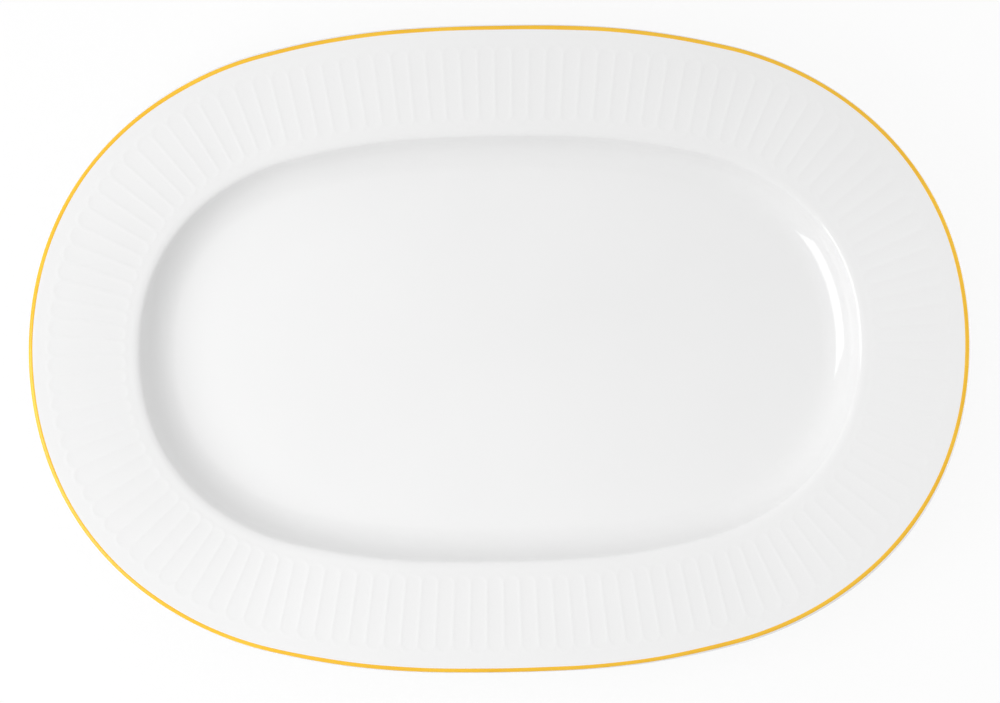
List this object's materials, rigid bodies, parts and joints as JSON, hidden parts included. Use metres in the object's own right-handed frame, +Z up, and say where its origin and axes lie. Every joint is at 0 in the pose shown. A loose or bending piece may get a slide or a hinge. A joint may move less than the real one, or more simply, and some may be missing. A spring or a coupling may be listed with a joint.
{
  "type": "serving platter",
  "caption": "Oval white china serving platter with a broad fluted rim, a shallow well, a foot ring and a yellow line round the lip, for carrying and serving food.",
  "frame": {"origin": "on the table, under the middle of the platter, in the plane of the foot ring's standing edge", "axes": "+X along the platter's length, +Y across its width, +Z up out of the well"},
  "size_m": [0.41, 0.282, 0.0302],
  "materials": {
    "china": "clear gloss glaze over a white china body, bare on the foot ring's standing edge",
    "yellow_enamel": "glossy yellow enamel fired on over the glaze"
  },
  "bodies": {
    "root": {"platter_body": "china", "rim_line": "yellow_enamel"}
  },
  "joints": []
}
